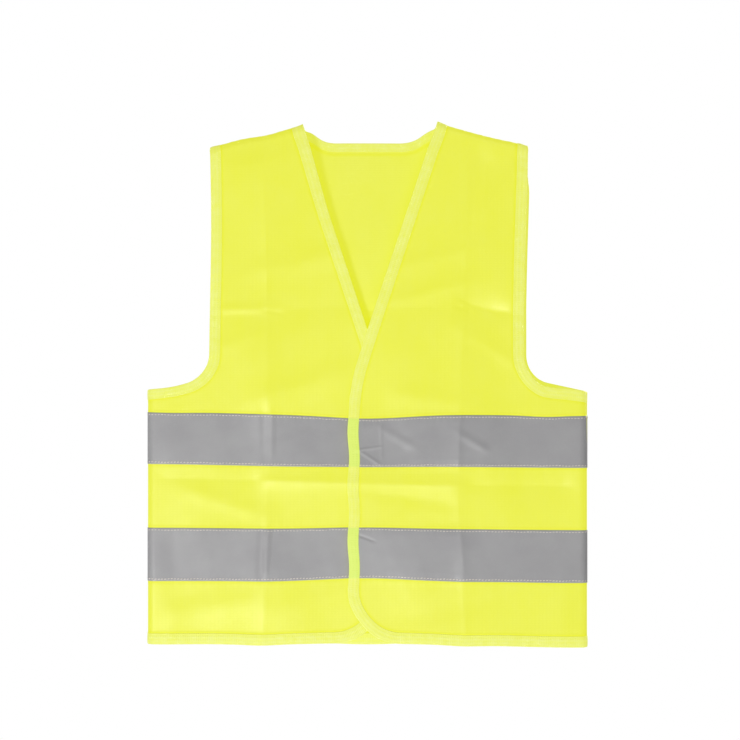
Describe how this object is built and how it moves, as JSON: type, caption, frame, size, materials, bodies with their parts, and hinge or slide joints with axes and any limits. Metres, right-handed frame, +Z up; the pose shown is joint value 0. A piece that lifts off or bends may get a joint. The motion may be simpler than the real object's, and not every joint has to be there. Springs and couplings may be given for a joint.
{
  "type": "high visibility vest",
  "caption": "Sleeveless V-neck safety vest in fluorescent knit with bound edges and grey reflective bands; the left front laps over the right and closes with hook-and-loop pads.",
  "frame": {"origin": "halfway between the two neck points, on the ridge of the shoulders, where a hanger or a neck carries the vest", "axes": "+Z up along the body towards the neck, -Y the front of the vest, +X the wearer's left side"},
  "size_m": [0.425, 0.0174, 0.5007],
  "materials": {
    "yellow_fabric": "fluorescent yellow warp-knit polyester, matte with a faint sheen",
    "edge_binding": "folded tricot binding, slightly paler yellow, stitched along its inner edge",
    "reflective_tape": "grey glass-bead reflective fabric tape, satin",
    "sewing_thread": "pale polyester thread",
    "hook_tape": "nylon hooks on a woven base",
    "loop_tape": "brushed nylon loops",
    "label_fabric": "blank white satin ribbon"
  },
  "bodies": {
    "vest_body": {"back_hem_binding": "edge_binding", "back_panel": "yellow_fabric", "back_tape_thread": "sewing_thread", "care_label": "label_fabric", "left_armhole_binding": "edge_binding", "left_front_side_panel": "yellow_fabric", "left_shoulder_seam": "yellow_fabric", "left_side_hem_binding": "edge_binding", "left_side_seam": "yellow_fabric", "left_side_tape_thread": "sewing_thread", "lower_tape_back": "reflective_tape", "lower_tape_left_side": "reflective_tape", "lower_tape_right_side": "reflective_tape", "neck_binding": "edge_binding", "right_armhole_binding": "edge_binding", "right_front_side_panel": "yellow_fabric", "right_shoulder_seam": "yellow_fabric", "right_side_hem_binding": "edge_binding", "right_side_seam": "yellow_fabric", "right_side_tape_thread": "sewing_thread", "upper_tape_back": "reflective_tape", "upper_tape_left_side": "reflective_tape", "upper_tape_right_side": "reflective_tape"},
    "left_front": {"left_front_flap": "yellow_fabric", "left_front_edge_binding": "edge_binding", "upper_tape_left_flap": "reflective_tape", "lower_tape_left_flap": "reflective_tape", "upper_hook_pad": "hook_tape", "lower_hook_pad": "hook_tape", "left_flap_tape_thread": "sewing_thread"},
    "right_front": {"right_front_flap": "yellow_fabric", "right_front_edge_binding": "edge_binding", "upper_tape_right_flap": "reflective_tape", "lower_tape_right_flap": "reflective_tape", "upper_loop_pad": "loop_tape", "lower_loop_pad": "loop_tape", "right_flap_tape_thread": "sewing_thread"}
  },
  "joints": [
    {"name": "left_front_open", "type": "hinge", "parent": "vest_body", "child": "left_front", "pos_m": [0.067, -0.0099, 0], "axis": [-0.2389, 0, 0.971], "range_deg": [0, 165]},
    {"name": "right_front_open", "type": "hinge", "parent": "vest_body", "child": "right_front", "pos_m": [-0.067, -0.0083, 0], "axis": [-0.2389, 0, -0.971], "range_deg": [0, 116]}
  ],
  "couplings": [
    {"joint": "right_front_open", "follows": "left_front_open", "ratio": 0.7}
  ]
}
